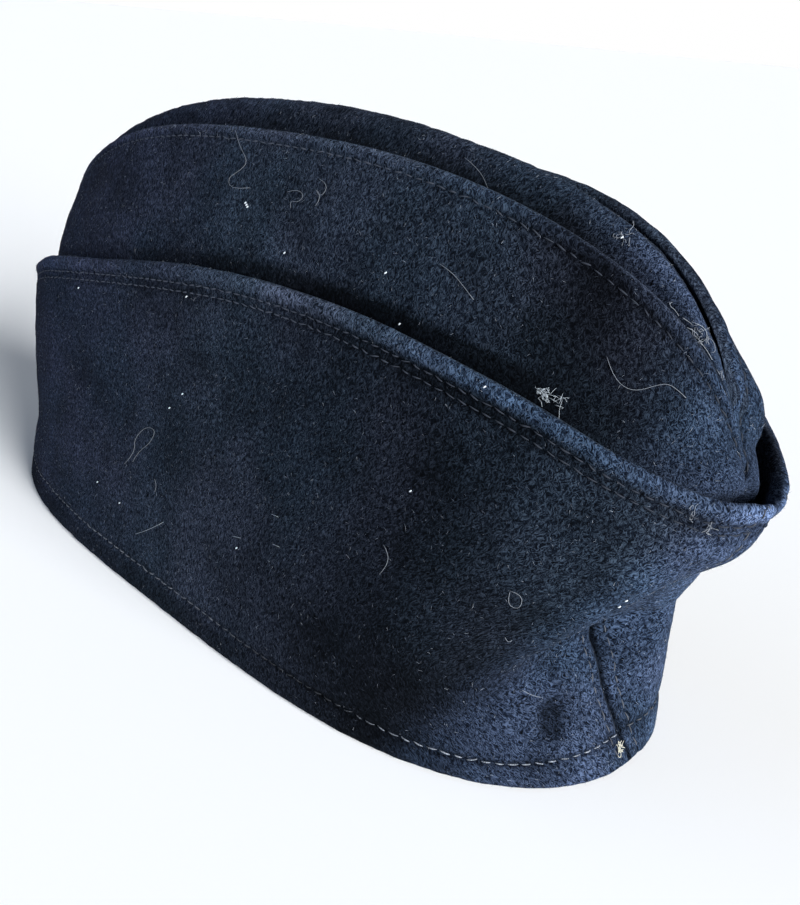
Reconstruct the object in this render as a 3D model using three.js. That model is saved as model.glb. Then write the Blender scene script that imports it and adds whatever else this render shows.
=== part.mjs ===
// A folding wool cap of the side cap kind, opened as on a head and resting on its rim.
// Millimetres, +Z up. +X runs along the cap to the end whose cuff stands out most, -Y is the near side.
// Two side panels and a sunken top insert make the crown. A deep cuff in two halves is turned up around it.

import * as THREE from 'three';

// Rim, the oval that the cap rests on
const rimHalfLength = 121;
const rimHalfWidth = 50;

// Cloth
const cuffThickness = 2.4;
const crownThickness = 2.3;
const insertThickness = 2.0;
const clearance = 0.3;
const nestClearance = 0.45;

// Cuff
const cuffHeight = 92;
const hemRound = 0.7;
const foldLip = 2.4;
const edgeHalfWidth = 30.3;
const dentShare = 0.415;
const creaseDrop = 0.1;
const creaseReach = 0.06;

// Crown
const crownStartShare = 0.965;
const crownBlunt = 5;
const crownRound = 1.6;
const rightEndGap = 8.5;
const leftEndGap = 5;
const ridgeTurn = 0.7;
const panelBulge = 1.6;
const endBulge = 3;
const farSwell = 8;

// Ridge, the edge-stitched top edge of a side panel
const ridgeHeight = 126;
const ridgeTiltRise = 6;
const ridgeSagDepth = 2.4;
const ridgeRightBase = 80;
const ridgeLeftBase = 70;
const ridgeRightEnd = 127;
const ridgeLeftEnd = 127;
const ridgeHalfWidth = 16.2;
const nearRidgePlanCurve = 2.7;
const farRidgePlanCurve = 5;
const ridgeArchLength = 2.5;
const ridgeRightArch = 1.85;
const ridgeLeftArch = 2.15;
const farRidgeRise = 4;

// Top insert
const crestRise = 6;
const insertSink = 1.6;
const insertTipWidth = 0.9;
const crestSharpness = 1.4;

// Mesh density
const columnCount = 30;
const insertColumnCount = 40;
const insertStripCount = 8;

const nearSide = -1;
const farSide = 1;

// Plan of the cuff's two ends at each level. End and lobe are shares of the rim's half length.
// blunt and round are the two powers of the plan curve: a high blunt squares the end off,
// and round goes from 1 (a pointed fold) through 2 (an oval) to 4 (a flat end with tight corners).
// The lobe is how far the far half swells out beside the dented fold.
const rightLevels = [
  { share: 0.0, end: 1.0, blunt: 3.4, round: 2.1, lobe: 0.0 },
  { share: 0.2, end: 0.915, blunt: 4.6, round: 2.6, lobe: 0.05 },
  { share: dentShare, end: 0.855, blunt: 8.0, round: 3.6, lobe: 0.085 },
  { share: 0.53, end: 0.915, blunt: 8.0, round: 2.4, lobe: 0.07 },
  { share: 0.7, end: 1.03, blunt: 7.0, round: 1.5, lobe: 0.025 },
  { share: 0.86, end: 1.125, blunt: 6.4, round: 1.15, lobe: 0.015 },
  { share: 1.0, end: 1.145, blunt: 6.4, round: 1.0, lobe: 0.02 },
];
const leftLevels = [
  { share: 0.0, end: 1.0, blunt: 3.4, round: 2.1, lobe: 0.0 },
  { share: dentShare, end: 0.95, blunt: 4.4, round: 2.4, lobe: 0.0 },
  { share: 0.6, end: 1.01, blunt: 5.6, round: 1.8, lobe: 0.0 },
  { share: 1.0, end: 1.125, blunt: 7.0, round: 1.05, lobe: 0.0 },
];

// Height of the cuff's edge along the cap, as shares of the cuff's height
const cuffEdge = [
  { along: -1.0, near: 0.685, far: 0.685 },
  { along: -0.85, near: 0.76, far: 0.77 },
  { along: -0.5, near: 0.875, far: 0.88 },
  { along: 0.0, near: 0.995, far: 0.99 },
  { along: 0.3, near: 1.015, far: 1.01 },
  { along: 0.5, near: 0.995, far: 1.0 },
  { along: 0.7, near: 0.945, far: 0.98 },
  { along: 0.85, near: 0.865, far: 0.94 },
  { along: 0.95, near: 0.81, far: 0.87 },
  { along: 1.0, near: 0.805, far: 0.805 },
];

// Height of the insert's middle crest over the ridges, along the cap, as shares of its greatest height
const crest = [
  { along: -1.0, rise: 0.17 },
  { along: -0.9, rise: 0.75 },
  { along: -0.5, rise: 1.0 },
  { along: 0.0, rise: 1.0 },
  { along: 0.2, rise: 0.83 },
  { along: 0.4, rise: 0.6 },
  { along: 0.6, rise: 0.43 },
  { along: 0.87, rise: 0.13 },
  { along: 1.0, rise: 0.0 },
];

// Rows of a wall from its foot to the cuff's edge, as shares of the edge's height
const wallRows = [0.1, 0.2, 0.3, dentShare, 0.46, 0.56, 0.68, 0.84];

// Rows of a side panel from the cuff's edge to the ridge, as shares of the way
const panelRows = [0.2, 0.45, 0.72, 1.0];

const sideWord = (side) => (side === nearSide ? 'near' : 'far');
const mix = (from, to, share) => from + (to - from) * share;
const clampShare = (value) => Math.min(1, Math.max(0, value));
const ease = (value) => THREE.MathUtils.smoothstep(value, 0, 1);

// Reads a column of a table at any place between its rows, on a smooth curve through them
function reading(table, key, column, at) {
  const last = table.length - 1;
  let row = 0;
  while (row < last - 1 && at > table[row + 1][key]) {
    row += 1;
  }
  const slope = (from, to) => (table[to][column] - table[from][column]) / (table[to][key] - table[from][key]);
  const span = table[row + 1][key] - table[row][key];
  const share = clampShare((at - table[row][key]) / span);
  const startSlope = slope(Math.max(row - 1, 0), row + 1) * span;
  const endSlope = slope(row, Math.min(row + 2, last)) * span;
  const square = share * share;
  const cube = square * share;
  return (
    table[row][column] * (2 * cube - 3 * square + 1) +
    startSlope * (cube - 2 * square + share) +
    table[row + 1][column] * (3 * square - 2 * cube) +
    endSlope * (cube - square)
  );
}

// Reads a column in straight lines, which keeps the crease of the dented ends sharp
function straightReading(table, key, column, at) {
  let row = 0;
  while (row < table.length - 2 && at > table[row + 1][key]) {
    row += 1;
  }
  const span = table[row + 1][key] - table[row][key];
  return mix(table[row][column], table[row + 1][column], clampShare((at - table[row][key]) / span));
}

// Height of the cuff's edge at a place along the cap
function edgeHeight(along, side) {
  return cuffHeight * reading(cuffEdge, 'along', sideWord(side), along);
}

// The dent's crease runs lower beside the fold than at it: this is the level to read the end tables at
function creasedShare(along, share) {
  const beside = ease((1 - Math.abs(along)) / creaseReach);
  return share + creaseDrop * beside * 4 * share * (1 - share);
}

// A point of the cuff-shaped wall: `along` is -1 at the left end fold and 1 at the right,
// `share` is the share of the edge's height, `inset` is how far the point lies inside the cuff's face
function wallPoint(along, share, inset, side, crownPart) {
  const levels = along > 0 ? rightLevels : leftLevels;
  const level = creasedShare(along, share);
  const blend = crownPart ? ease((share - dentShare) / (crownStartShare - dentShare)) : 0;
  const endGap = blend * (along > 0 ? rightEndGap : leftEndGap);
  const end = rimHalfLength * straightReading(levels, 'share', 'end', level) - inset - endGap;
  const half = mix(rimHalfWidth, edgeHalfWidth, share) - inset;
  const blunt = mix(straightReading(levels, 'share', 'blunt', level), crownBlunt, blend);
  const round = mix(straightReading(levels, 'share', 'round', level), crownRound, blend);
  const widthShare = Math.pow(1 - Math.pow(Math.abs(along), blunt), 1 / round);
  const lobe = side === farSide ? rimHalfLength * straightReading(levels, 'share', 'lobe', level) : 0;
  const x = end * along + lobe * (1 - blend) * 4 * widthShare * (1 - widthShare);
  const y = side * (clearance / 2 + half * widthShare);
  return new THREE.Vector3(x, y, share * edgeHeight(along, side));
}

// A point of a side panel's ridge
function ridgePoint(along, side) {
  const end = along > 0 ? ridgeRightEnd : ridgeLeftEnd;
  const base = along > 0 ? ridgeRightBase : ridgeLeftBase;
  const farRise = side === farSide ? farRidgeRise * ease((along - 0.35) / 0.5) : 0;
  const top = ridgeHeight + ridgeTiltRise * along - ridgeSagDepth * along * along + farRise;
  const archPower = along > 0 ? ridgeRightArch : ridgeLeftArch;
  const arch = Math.pow(1 - Math.pow(Math.abs(along), ridgeArchLength), 1 / archPower);
  const planCurve = side === farSide ? farRidgePlanCurve : nearRidgePlanCurve;
  const width = ridgeHalfWidth * (1 - Math.pow(Math.abs(along), planCurve));
  return new THREE.Vector3(end * along, side * (clearance / 2 + width), mix(base, top, arch));
}

// The direction straight out of the crown's arch, seen from the side
function archNormal(along, side) {
  const step = 0.004;
  const before = ridgePoint(Math.max(-1, along - step), side);
  const after = ridgePoint(Math.min(1, along + step), side);
  return new THREE.Vector3(before.z - after.z, 0, after.x - before.x).normalize();
}

// How far the panel's edge reaches over towards the middle, and how far its inner edge lies under the ridge.
// Near the ends the ridges come so close that the edges meet in a groove there.
function ridgeWall(along, side) {
  const width = Math.abs(ridgePoint(along, side).y) - clearance / 2;
  const across = Math.min(width, crownThickness);
  return { across, under: crownThickness - ridgeTurn * across };
}

// A point of a side panel above the cuff's edge, `up` going from the edge to the ridge
function panelPoint(along, up, inset, side) {
  const foot = wallPoint(along, crownStartShare, cuffThickness + nestClearance + inset, side, true);
  const wall = ridgeWall(along, side);
  const head = ridgePoint(along, side);
  const depth = inset / crownThickness;
  head.addScaledVector(archNormal(along, side), -wall.under * depth);
  head.y -= side * wall.across * depth;
  const point = foot.lerp(head, up);
  const fullness = 1 - Math.pow(Math.abs(along), 4);
  point.y += side * panelBulge * fullness * Math.sin(Math.PI * up);
  const swell = side === farSide && along > 0 ? farSwell * ease((1 - along) / creaseReach) : 0;
  point.x += Math.sign(along) * (endBulge + swell) * Math.pow(along, 6) * Math.sin(Math.PI * up);
  return point;
}

// Joins the closed section of every column into one solid. A section runs up one face and back down
// the other in as many points, so its two ends are closed by ladders of rungs from face to face.
// Both faces are split along the same diagonals, so that pieces lying one inside the other stay apart.
function sweptSolid(columns) {
  const faces = [];
  const ringSize = columns[0].length;
  const fourSided = (a, b, c, d) => faces.push(a, b, c, a, c, d);
  for (let column = 0; column < columns.length - 1; column += 1) {
    for (let corner = 0; corner < ringSize; corner += 1) {
      const next = (corner + 1) % ringSize;
      const here = column * ringSize;
      const there = here + ringSize;
      if (corner < ringSize / 2) {
        fourSided(here + corner, there + corner, there + next, here + next);
      } else {
        fourSided(there + corner, there + next, here + next, here + corner);
      }
    }
  }
  const lastStart = (columns.length - 1) * ringSize;
  for (let rung = 0; rung < ringSize / 2 - 1; rung += 1) {
    const opposite = ringSize - 1 - rung;
    fourSided(rung, rung + 1, opposite - 1, opposite);
    fourSided(lastStart + opposite, lastStart + opposite - 1, lastStart + rung + 1, lastStart + rung);
  }
  const geometry = new THREE.BufferGeometry().setFromPoints(columns.flat());
  geometry.setIndex(faces);
  return facingOut(geometry);
}

// Turns every face round if the solid came out inside out
function facingOut(geometry) {
  const place = geometry.attributes.position;
  const index = geometry.index;
  const corners = [new THREE.Vector3(), new THREE.Vector3(), new THREE.Vector3()];
  let volume = 0;
  for (let face = 0; face < index.count; face += 3) {
    corners.forEach((corner, number) => corner.fromBufferAttribute(place, index.getX(face + number)));
    volume += corners[0].dot(corners[1].clone().cross(corners[2]));
  }
  if (volume < 0) {
    for (let face = 0; face < index.count; face += 3) {
      const second = index.getX(face + 1);
      index.setX(face + 1, index.getX(face + 2));
      index.setX(face + 2, second);
    }
  }
  geometry.computeVertexNormals();
  return geometry;
}

// Places along the cap, close together near the end folds
function placesAlong(count) {
  return Array.from({ length: count + 1 }, (_, number) => Math.sin((number / count - 0.5) * Math.PI));
}

// The section of a cuff half: a wall with a rounded hem on top, and a fold at the rim
// whose lip passes under the crown's edge
function cuffRing(along, side) {
  const edge = edgeHeight(along, side);
  const foldDepth = cuffThickness + nestClearance + crownThickness;
  const at = (height, inset) => wallPoint(along, height / edge, inset, side, false);
  const outside = wallRows.map((share) => wallPoint(along, share, 0, side, false));
  const inside = wallRows.map((share) => wallPoint(along, share, cuffThickness, side, false)).reverse();
  return [
    at(0, hemRound),
    at(hemRound, 0),
    at(foldLip - hemRound, 0),
    at(foldLip, 0),
    ...outside,
    at(edge - hemRound, 0),
    at(edge, hemRound),
    at(edge, cuffThickness - hemRound),
    at(edge - hemRound, cuffThickness),
    ...inside,
    at(foldLip, cuffThickness),
    at(foldLip, foldDepth),
    at(hemRound, foldDepth),
    at(0, foldDepth - hemRound),
  ];
}

function cuffHalf(side) {
  const columns = placesAlong(columnCount).map((along) => cuffRing(along, side));
  return sweptSolid(columns);
}

// The section of a side panel, from the fold's lip up inside the cuff and on to the ridge
function panelRing(along, side) {
  const footShare = (foldLip + clearance) / edgeHeight(along, side);
  const rows = [footShare, ...wallRows];
  const wallInset = cuffThickness + nestClearance;
  const face = (inset) => [
    ...rows.map((share) => wallPoint(along, share, wallInset + inset, side, true)),
    ...[0, ...panelRows].map((up) => panelPoint(along, up, inset, side)),
  ];
  return [...face(0), ...face(crownThickness).reverse()];
}

function crownSide(side) {
  const columns = placesAlong(columnCount).map((along) => panelRing(along, side));
  return sweptSolid(columns);
}

// Where the top insert's edge lies, beside the panel's edge on that side
function insertEdge(along, side) {
  const panelEdge = Math.abs(ridgePoint(along, side).y) - ridgeWall(along, side).across;
  return side * (panelEdge - clearance);
}

// A point of the insert: `across` is -1 at its near edge and 1 at its far edge,
// `depth` goes down into the cloth
function insertPoint(along, across, depth) {
  const share = (across + 1) / 2;
  const hump = Math.pow(Math.cos((across * Math.PI) / 2), 2 * crestSharpness);
  const rise = crestRise * reading(crest, 'along', 'rise', along) + insertSink;
  const point = ridgePoint(along, nearSide).lerp(ridgePoint(along, farSide), share);
  point.addScaledVector(archNormal(along, nearSide), rise * hump - insertSink - depth);
  point.y = mix(insertEdge(along, nearSide), insertEdge(along, farSide), share);
  return point;
}

function insertRing(along) {
  const strips = Array.from({ length: insertStripCount + 1 }, (_, n) => (2 * n) / insertStripCount - 1);
  const top = strips.map((across) => insertPoint(along, across, 0));
  const underside = strips.map((across) => insertPoint(along, across, insertThickness)).reverse();
  return [...top, ...underside];
}

// The insert runs as far towards each end as it is wide enough to be cut from cloth
function crownInsert() {
  const places = placesAlong(insertColumnCount);
  const width = (along) => insertEdge(along, farSide) - insertEdge(along, nearSide);
  return sweptSolid(places.filter((along) => width(along) > insertTipWidth).map(insertRing));
}

const wool = new THREE.MeshStandardMaterial({ color: 0x11141f, roughness: 0.95, metalness: 0 });
const paleWool = new THREE.MeshStandardMaterial({ color: 0x151926, roughness: 0.95, metalness: 0 });

function piece(name, geometry, material) {
  const mesh = new THREE.Mesh(geometry, material);
  mesh.name = name;
  return mesh;
}

const cap = new THREE.Group();
cap.add(piece('crown_near_side', crownSide(nearSide), wool));
cap.add(piece('crown_far_side', crownSide(farSide), wool));
cap.add(piece('crown_top_insert', crownInsert(), paleWool));
cap.add(piece('cuff_near_side', cuffHalf(nearSide), wool));
cap.add(piece('cuff_far_side', cuffHalf(farSide), wool));

// The origin lies on the resting surface, under the middle of the cap's length and width
const middle = new THREE.Box3().setFromObject(cap).getCenter(new THREE.Vector3());
cap.position.set(-middle.x, -middle.y, 0);

export default cap;
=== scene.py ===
# %% [markdown]
# # A folding wool cap
#
# The cap is sewn from five pieces of thick felted wool: two side panels, a sunken strip between
# their ridges, and a deep cuff in two halves turned up around them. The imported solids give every
# piece its place and its size. This lesson gives each piece its soft skin, its seams and rows of
# stitching, its nap and its lint. A skin stays within a few millimetres of its solid: only the
# strip's tips, the panels' ends inside the cuff and the cuff's blunt corner are drawn anew.

# %% Load the frame
import math

import bmesh
import bpy
import numpy as np
from mathutils import Matrix, Vector, noise
from mathutils.bvhtree import BVHTree


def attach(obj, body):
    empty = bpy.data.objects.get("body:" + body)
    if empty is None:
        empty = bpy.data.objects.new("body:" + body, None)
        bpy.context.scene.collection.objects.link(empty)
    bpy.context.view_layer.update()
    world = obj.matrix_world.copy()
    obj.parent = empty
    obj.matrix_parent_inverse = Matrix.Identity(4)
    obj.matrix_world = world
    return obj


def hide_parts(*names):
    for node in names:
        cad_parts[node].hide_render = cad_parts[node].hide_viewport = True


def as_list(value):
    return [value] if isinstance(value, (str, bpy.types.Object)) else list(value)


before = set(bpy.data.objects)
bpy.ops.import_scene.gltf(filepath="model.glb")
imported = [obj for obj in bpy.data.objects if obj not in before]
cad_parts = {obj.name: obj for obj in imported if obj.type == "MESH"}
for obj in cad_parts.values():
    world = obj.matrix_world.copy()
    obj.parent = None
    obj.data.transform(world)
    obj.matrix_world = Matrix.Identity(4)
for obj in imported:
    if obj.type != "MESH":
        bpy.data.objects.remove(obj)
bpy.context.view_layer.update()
mm = 0.001

# %% [markdown]
# ## The camera
#
# A camera can be placed by hand, by a Track To constraint, or from the three directions it has:
# right, up and back. The third way is used because the picture was taken with the camera tipped
# a little to one side, which is one more turn about the line of sight. The optical axis doesn't
# pass through the middle of the picture either, and the shift says by how much.

# %% Place the camera
picture_width, picture_height = 800, 905
focal_pixels = 982.1
axis_right_pixels, axis_up_pixels = -30.8, 2.5
camera_place = Vector((197.5, -179.4, 152.5)) * mm
camera_target = Vector((15.05, 12.2, 38.0)) * mm
camera_roll = math.radians(5.23)
sensor_width = 36.0

camera_data = bpy.data.cameras.new("camera")
camera_data.sensor_width = sensor_width
camera_data.lens = focal_pixels * sensor_width / picture_height
camera_data.shift_x = -axis_right_pixels / picture_height
camera_data.shift_y = -axis_up_pixels / picture_height
camera_data.clip_start = 0.01
sight = (camera_target - camera_place).normalized()
level_right = sight.cross(Vector((0, 0, 1))).normalized()
level_up = level_right.cross(sight)
camera_right = level_right * math.cos(camera_roll) + level_up * math.sin(camera_roll)
camera_up = level_up * math.cos(camera_roll) - level_right * math.sin(camera_roll)
axes = Matrix((camera_right, camera_up, -sight)).transposed().to_4x4()
camera = bpy.data.objects.new("camera", camera_data)
camera.matrix_world = Matrix.Translation(camera_place) @ axes
bpy.context.scene.collection.objects.link(camera)
bpy.context.scene.camera = camera
print("lens", round(camera_data.lens, 2), "mm")

# %% [markdown]
# ## From the cap to the picture
#
# The dent is known only from where it shows in the picture. Blender has a helper for such a
# question, world_to_camera_view, but it takes the render's size of the moment. The same sum in
# numpy is short, takes the picture's own size, and answers for a whole net of places at once.

# %% Turn places into points of the picture
def in_picture(places):
    """Where places[..., 3] show in the picture, in pixels to the right and down."""
    off = places - np.array(camera_place)
    depth = off @ np.array(sight)
    right = focal_pixels * (off @ np.array(camera_right)) / depth
    up = focal_pixels * (off @ np.array(camera_up)) / depth
    return np.stack([
        picture_width / 2 + axis_right_pixels + right,
        picture_height / 2 - axis_up_pixels - up,
    ], axis=-1)


# %% [markdown]
# ## The floor
#
# The cap stands on a plain pale floor: one large flat face, a little below the rim so that the
# two never lie in one plane. A Standard view keeps the dark cloth as dark as it is.

# %% Make the floor
scene = bpy.context.scene
scene.view_settings.view_transform = "Standard"


def shader_material(name):
    """A new node material, with its Principled BSDF."""
    material = bpy.data.materials.new(name)
    material.use_nodes = True
    return material, material.node_tree.nodes["Principled BSDF"]


def object_of(name, bm, smooth=False):
    """An object of that name with the bmesh in it, which is then freed."""
    for face in bm.faces:
        face.smooth = smooth
    mesh = bpy.data.meshes.new(name)
    bm.to_mesh(mesh)
    bm.free()
    made = bpy.data.objects.new(name, mesh)
    scene.collection.objects.link(made)
    return made


floor_half = 30.0
floor_drop = 0.2 * mm
floor_material, floor_shader = shader_material("pale floor")
floor_shader.inputs["Base Color"].default_value = (0.93, 0.93, 0.93, 1)
floor_shader.inputs["Roughness"].default_value = 0.9
floor_shader.inputs["Specular IOR Level"].default_value = 0.1
bm = bmesh.new()
bmesh.ops.create_grid(bm, x_segments=1, y_segments=1, size=floor_half)
bmesh.ops.translate(bm, verts=bm.verts, vec=(0, 0, -floor_drop))
floor = object_of("floor", bm)
floor.data.materials.append(floor_material)
print("floor", 2 * floor_half, "m wide")

# %% [markdown]
# ## The sky
#
# An even white sky would light the top of the cap as much as its sides. On the picture the top is
# as dark as they are, so this sky is white at the horizon and dim overhead. A Map Range on the
# height of the direction does it, with no picture of a room.

# %% Make the sky
horizon, overhead = 1.0, 0.12
fade_from, fade_to = 0.12, 0.34
world = bpy.data.worlds.new("studio")
scene.world = world
world.use_nodes = True
sky = world.node_tree
direction = sky.nodes.new("ShaderNodeTexCoord")
parts = sky.nodes.new("ShaderNodeSeparateXYZ")
fade = sky.nodes.new("ShaderNodeMapRange")
fade.interpolation_type = "SMOOTHSTEP"
fade_sockets = ("From Min", "From Max", "To Min", "To Max")
for socket, value in zip(fade_sockets, (fade_from, fade_to, horizon, overhead)):
    fade.inputs[socket].default_value = value
sky.links.new(direction.outputs["Generated"], parts.inputs[0])
sky.links.new(parts.outputs["Z"], fade.inputs["Value"])
sky.links.new(fade.outputs[0], sky.nodes["Background"].inputs["Strength"])
sky.nodes["Background"].inputs["Color"].default_value = (1.0, 1.0, 1.0, 1)
print("sky from", horizon, "to", overhead)

# %% [markdown]
# ## The lamps
#
# Dark wool shows its form only by a light that comes from one side, here a low soft one at the
# pointed end, with a little cool light from the left. Area lamps that stand near would leave
# their edges on so wide a floor, so both are suns with a wide face.

# %% Hang the lamps
def soft_sun(name, place, strength, spread, colour):
    """A lamp so far off that it lights all the floor alike, shining from there to the middle."""
    lamp = bpy.data.lights.new(name, "SUN")
    lamp.angle = math.radians(spread)
    lamp.energy = strength
    lamp.color = colour
    there = bpy.data.objects.new(name, lamp)
    there.rotation_euler = Vector(place).to_track_quat("Z", "Y").to_euler()
    scene.collection.objects.link(there)
    return there


soft_sun("key lamp", (1.0, -0.1, 0.25), 11.0, 34, (0.97, 0.985, 1.0))
soft_sun("left lamp", (-1.0, -0.7, 0.5), 1.0, 60, (0.5, 0.7, 1.0))

# %% [markdown]
# ## Reading the sections off a solid
#
# Every solid was swept through sections from the left end to the right, and the one in the middle
# stands square across the cap. A copy of its mesh, merged, still has them: from the middle section
# each next one is what the last one's edges lead to. Going round each section from the same corner
# gives a net of rows and columns, which says where the cloth is, which face shows, and how far
# every place is from a hem or a seam.

# %% Walk from section to section
section_depth = 2 * mm


def rings_beyond(middle, side):
    """The vertices of each section from the middle one to an end: side is -1 left, 1 right."""
    level = next(iter(middle)).co.x
    seen = set(middle)
    ring = {edge.other_vert(vert) for vert in middle for edge in vert.link_edges} - seen
    ring = {vert for vert in ring if (vert.co.x - level) * side > 0}
    while ring:
        yield ring
        seen |= ring
        ring = {edge.other_vert(vert) for vert in ring for edge in vert.link_edges} - seen


def in_order(ring):
    """A section's vertices one after another. A rung across a flat end isn't part of the way round."""
    def beside(vert):
        for edge in vert.link_edges:
            if edge.other_vert(vert) in ring and any(set(face.verts) - ring for face in edge.link_faces):
                yield edge.other_vert(vert)

    way = [min(ring, key=lambda vert: vert.index)]
    while len(way) < len(ring):
        way.append(next(vert for vert in beside(way[-1]) if vert not in way))
    return way


def matched(way, before):
    """The section turned so that each vertex has an edge to the one in the same place before it."""
    joined = {frozenset(edge.verts) for vert in way for edge in vert.link_edges}
    for turned in (way, way[::-1]):
        for start in range(len(way)):
            tried = turned[start:] + turned[:start]
            if all(frozenset(pair) in joined for pair in zip(tried, before)):
                return tried
    raise ValueError("two sections don't match")


# %% [markdown]
# ## A net of corners
#
# Every section now starts somewhere of its own, and a row of the net would wander. So each is
# turned to match its neighbour, and the whole net to start where a maker would: a wall at its top
# outer corner, going down the outside, and the strip at its upper near edge.

# %% Make the nets
def net_of(node):
    """places[section, corner] of a solid, in metres, from its left end to its right."""
    bm = bmesh.new()
    bm.from_mesh(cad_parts[node].data)
    bmesh.ops.remove_doubles(bm, verts=bm.verts, dist=1e-6)
    bm.verts.index_update()
    level = min((vert.co.x for vert in bm.verts), key=abs)
    middle = {vert for vert in bm.verts if abs(vert.co.x - level) < section_depth}
    way = in_order(middle)
    ways = [way]
    for side in (-1, 1):
        last = way
        for ring in rings_beyond(middle, side):
            last = matched(in_order(ring), last)
            ways.insert(len(ways) if side > 0 else 0, last)
    places = np.array([[vert.co[:] for vert in each] for each in ways])
    bm.free()
    return places


def top_outside_first(places):
    """The net of a wall, started at its top outer corner and going down the outside."""
    middle = places[len(places) // 2]
    highest = np.argsort(middle[:, 2])[-2:]
    corner = int(max(highest, key=lambda each: abs(middle[each, 1])))
    places = np.roll(places, -corner, axis=1)
    inward = middle[(corner + 1) % len(middle), 2] > middle[corner - 1, 2]
    return np.roll(places[:, ::-1], 1, axis=1) if inward else places


def near_edge_first(places):
    """The net of the top strip, started at its upper near edge and going across its face."""
    middle = places[len(places) // 2]
    edge = np.argsort(middle[:, 1])[:2]
    corner = int(max(edge, key=lambda each: middle[each, 2]))
    places = np.roll(places, -corner, axis=1)
    face_next = middle[(corner + 1) % len(middle), 2] > middle[corner - 1, 2]
    return places if face_next else np.roll(places[:, ::-1], 1, axis=1)


wall_names = ["cuff_near_side", "cuff_far_side", "crown_near_side", "crown_far_side"]
nets = {name: top_outside_first(net_of(name)) for name in wall_names}
nets["crown_top_insert"] = near_edge_first(net_of("crown_top_insert"))
for name, places in nets.items():
    print(name, "sections", places.shape[0], "corners", places.shape[1])

# %% [markdown]
# ## The strip's tips
#
# The solid strip narrows to nothing before the ridges meet. On the cap it goes on down between
# them to the end seam. So its last four sections at each end are drawn again from the ridges'
# own edges: each is a low arch across the gap, sunk a little into it.

# %% Draw the tips down to the seams
# In millimetres, from the strip's body to its tip; a crest for the right end and for the left.
strip_halves = (2.6, 1.2, 0.7, 0.45)
strip_sinks = (1.5, 1.1, 0.8, 0.5)
strip_crests = {1: (1.4, 0.6, 0.3, 0.15), -1: (3.4, 1.9, 1.0, 0.4)}
strip_thick = 1.4


def down_to_the_seam(strip, near, far, side):
    """The strip with its last sections drawn again, down to where the ridges meet at that side."""
    strip, near, far = strip[::side], near[::side], far[::side]
    across = np.linspace(-1, 1, 9)
    drawn = []
    sizes = zip(range(-5, -1), strip_halves, strip_sinks, strip_crests[side])
    for column, half, sink, crest in sizes:
        middle = (near[column, 0] + far[column, 0]) / 2
        ahead = near[column + 1, 0] - near[column - 1, 0]
        out = side * np.array([-ahead[2], 0, ahead[0]]) / np.hypot(ahead[0], ahead[2])
        lean = (far[column, 0] - near[column, 0]) / (far[column, 0] - near[column, 0])[1]
        height = (crest * (1 - across**2) - sink) * mm
        face = middle + np.outer(across * half * mm, lean) + np.outer(height, out)
        under = face[::-1] - strip_thick * mm * out
        drawn.append(np.concatenate([face, under]))
    return np.concatenate([strip[:-3], drawn])[::side]


for side in (-1, 1):
    nets["crown_top_insert"] = down_to_the_seam(
        nets["crown_top_insert"], nets["crown_near_side"], nets["crown_far_side"], side
    )
    print("strip's tip", "left" if side < 0 else "right", len(strip_halves), "sections")

# %% [markdown]
# ## From a net to a smooth skin
#
# The solids have flat faces up to 13 mm long, and cloth has none. Subdivision could round them,
# but it shrinks what it rounds. A curve that goes through every corner of the net keeps the size,
# so each section is drawn again with many more points on such a curve, and then each row. The
# curve's speed follows the square root of the distance to the next corner, which keeps it from
# looping where a long step meets a short one, as it does at a hem.

# %% Draw curves through the corners
def tangents(points, knots, closed):
    """Directions of a smooth curve at its points; knots are the steps of the curve's own clock."""
    slopes = np.diff(points, axis=0) / knots[..., None]
    if closed:
        before, after = np.roll(slopes, 1, axis=0), slopes
        lead, trail = np.roll(knots, 1, axis=0)[..., None], knots[..., None]
        return (before * trail + after * lead) / (lead + trail)
    lead, trail = knots[:-1, ..., None], knots[1:, ..., None]
    inner = (slopes[:-1] * trail + slopes[1:] * lead) / (lead + trail)
    return np.concatenate([slopes[:1], inner, slopes[-1:]])


def through(points, at, closed=False):
    """Places on the curve through points[number, ..., 3], at places counted in points."""
    if closed:
        points = np.concatenate([points, points[:1]])
    knots = np.maximum(np.linalg.norm(np.diff(points, axis=0), axis=-1), 1e-6) ** 0.5
    speed = tangents(points, knots, closed)
    if closed:
        speed = np.concatenate([speed, speed[:1]])
    start = np.minimum(at.astype(int), len(points) - 2)
    share = (at - start).reshape(-1, *[1] * (points.ndim - 1))
    knot = knots[start][..., None]
    square, cube = share**2, share**3
    return (
        points[start] * (2 * cube - 3 * square + 1)
        + speed[start] * knot * (cube - 2 * square + share)
        + points[start + 1] * (3 * square - 2 * cube)
        + speed[start + 1] * knot * (cube - square)
    )


# %% [markdown]
# ## The cloth as a grid of places
#
# A cloth is kept as one grid of places until its shape is done, because distances to an edge, a
# push outwards and a line to sew along are all easy on a grid. It also notes where the cloth is
# painted paler, for wear and for painted light, and darker, for pressed nap and for painted shade,
# which the colour and the hairs read later. Steps are small where there are
# hems, seams and stitches to show, and long inside, where nothing is seen.

# %% Define a cloth
def steps(lengths, size):
    """Places from point to point, counted in points, with no step longer than size."""
    sizes = np.broadcast_to(size, lengths.shape)
    parts = [
        number + np.arange(count) / count
        for number, count in enumerate(np.ceil(lengths / sizes).astype(int).clip(1))
    ]
    return np.concatenate([*parts, [len(lengths)]])


def gaps(points, axis):
    """The distances from each point to the next, along one axis of the grid."""
    return np.linalg.norm(np.diff(points, axis=axis), axis=-1)


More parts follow.
